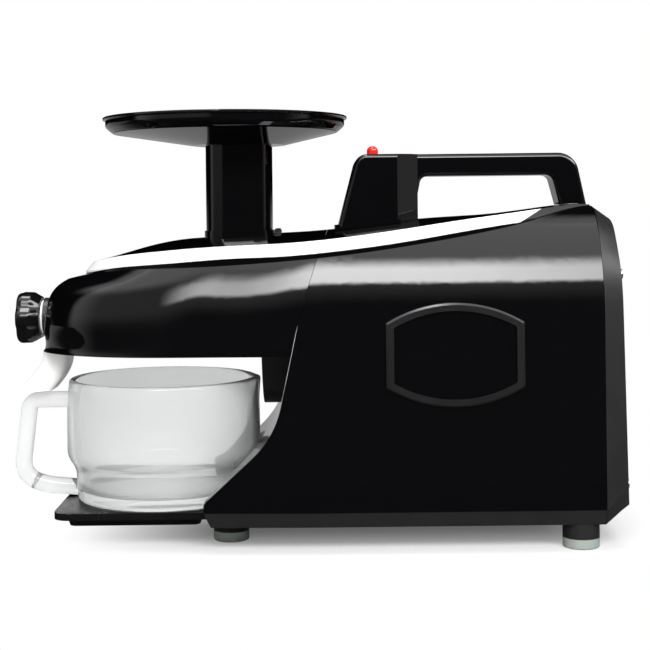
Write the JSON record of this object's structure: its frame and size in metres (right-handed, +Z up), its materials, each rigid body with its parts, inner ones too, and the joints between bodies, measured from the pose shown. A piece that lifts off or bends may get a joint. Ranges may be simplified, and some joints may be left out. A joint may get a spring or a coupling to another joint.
{
  "type": "cold press juicer",
  "caption": "Horizontal cold press juicer: black housing with top handle, feed tray on a chute, long front cover, lobed outlet knob, white spout and a handled glass jug on a ledge.",
  "frame": {"origin": "middle of the bounding box on the floor, under the feet", "axes": "+X along the body to the rear cover, +Y away from the badge side, +Z up"},
  "size_m": [0.4591, 0.187, 0.3168],
  "materials": {
    "gloss_black": "high gloss, moulded",
    "satin_black": "satin, finely grained",
    "trim_white": "satin gloss, inlaid",
    "spout_white": "smooth satin",
    "jug_glass": "clear, pressed",
    "button_red": "gloss",
    "foot_soft": "matt, slightly translucent",
    "screw_steel": "machined",
    "gear_resin": "smooth",
    "screen_steel": "fine brushed",
    "case_alloy": "cast",
    "coil_copper": "varnished winding",
    "core_steel": "laminated",
    "bush_bronze": "sintered",
    "seal_rubber": "matt",
    "inner_grey": "as moulded"
  },
  "bodies": {
    "housing_body": {"base_pan": "satin_black", "lower_housing": "gloss_black", "upper_housing": "gloss_black", "rear_cover": "satin_black", "housing_trim": "trim_white", "power_inlet": "inner_grey", "cover_screws": "screw_steel", "handle": "gloss_black", "switch_block": "inner_grey", "badge_frame": "gloss_black", "badge_plate": "gloss_black", "foot_stems": "satin_black", "foot_pads": "foot_soft", "foot_screws": "screw_steel", "motor_cradle": "inner_grey", "stator_stack": "core_steel", "stator_coils": "coil_copper", "front_bracket": "case_alloy", "rear_bracket": "case_alloy", "bearings": "screw_steel", "run_capacitor": "case_alloy", "capacitor_clip": "screw_steel", "gear_case": "case_alloy", "gear_case_lid": "case_alloy", "bushes": "bush_bronze", "shaft_seal": "seal_rubber", "idler_bush": "bush_bronze", "drive_nose": "satin_black", "gear_chamber": "gloss_black", "juice_screen": "screen_steel", "outlet_casing": "spout_white", "outlet_boss": "satin_black", "knob_washer": "spout_white", "jug_ledge": "satin_black", "ledge_screws": "screw_steel"},
    "rotor_body": {"rotor": "core_steel", "motor_pinion": "screw_steel", "cooling_fan": "inner_grey"},
    "lay_body": {"lay_gear": "screw_steel"},
    "drive_body": {"output_gear": "screw_steel", "drive_shaft": "screw_steel", "drive_screw": "gear_resin"},
    "driven_body": {"driven_screw": "gear_resin"},
    "knob_body": {"outlet_knob": "satin_black"},
    "cone_body": {"outlet_cone": "gear_resin"},
    "cover_body": {"front_cover": "gloss_black", "cover_trim": "trim_white", "cover_tab": "satin_black"},
    "tray_body": {"feed_tray": "gloss_black"},
    "jug_body": {"glass_jug": "jug_glass"},
    "power_button_body": {"power_button": "button_red"},
    "reverse_button_body": {"reverse_button": "button_red"}
  },
  "joints": [
    {"name": "rotor_spin", "type": "hinge", "parent": "housing_body", "child": "rotor_body", "pos_m": [0.1, 0, 0.088], "axis": [1, 0, 0], "continuous": true},
    {"name": "lay_spin", "type": "hinge", "parent": "housing_body", "child": "lay_body", "pos_m": [0.03, 0.00333, 0.13288], "axis": [1, 0, 0], "continuous": true},
    {"name": "drive_spin", "type": "hinge", "parent": "housing_body", "child": "drive_body", "pos_m": [0, -0.0205, 0.165], "axis": [1, 0, 0], "continuous": true},
    {"name": "driven_spin", "type": "hinge", "parent": "housing_body", "child": "driven_body", "pos_m": [0, 0.0205, 0.165], "axis": [1, 0, 0], "continuous": true},
    {"name": "knob_turn", "type": "hinge", "parent": "housing_body", "child": "knob_body", "pos_m": [-0.21, 0, 0.165], "axis": [1, 0, 0], "range_deg": [0, 540]},
    {"name": "cone_slide", "type": "slide", "parent": "housing_body", "child": "cone_body", "axis": [-1, 0, 0], "range_m": [0, 0.003]},
    {"name": "cover_lift", "type": "slide", "parent": "housing_body", "child": "cover_body", "axis": [0, 0, 1], "range_m": [0, 0.055]},
    {"name": "tray_lift", "type": "slide", "parent": "housing_body", "child": "tray_body", "axis": [0, 0, 1], "range_m": [0, 0.06]},
    {"name": "jug_turn", "type": "hinge", "parent": "housing_body", "child": "jug_body", "pos_m": [-0.114, 0, 0.03], "axis": [0, 0, 1], "range_deg": [-90, 90]},
    {"name": "power_press", "type": "slide", "parent": "housing_body", "child": "power_button_body", "axis": [0, 0, -1], "range_m": [0, 0.002], "stiffness_N_per_m": 400},
    {"name": "reverse_press", "type": "slide", "parent": "housing_body", "child": "reverse_button_body", "axis": [0, 0, -1], "range_m": [0, 0.001], "stiffness_N_per_m": 400}
  ],
  "couplings": [
    {"joint": "lay_spin", "follows": "rotor_spin", "ratio": -0.2},
    {"joint": "drive_spin", "follows": "rotor_spin", "ratio": 0.066667},
    {"joint": "driven_spin", "follows": "rotor_spin", "ratio": -0.066667},
    {"joint": "cone_slide", "follows": "knob_turn", "m_per_rad": 0.00031831}
  ]
}
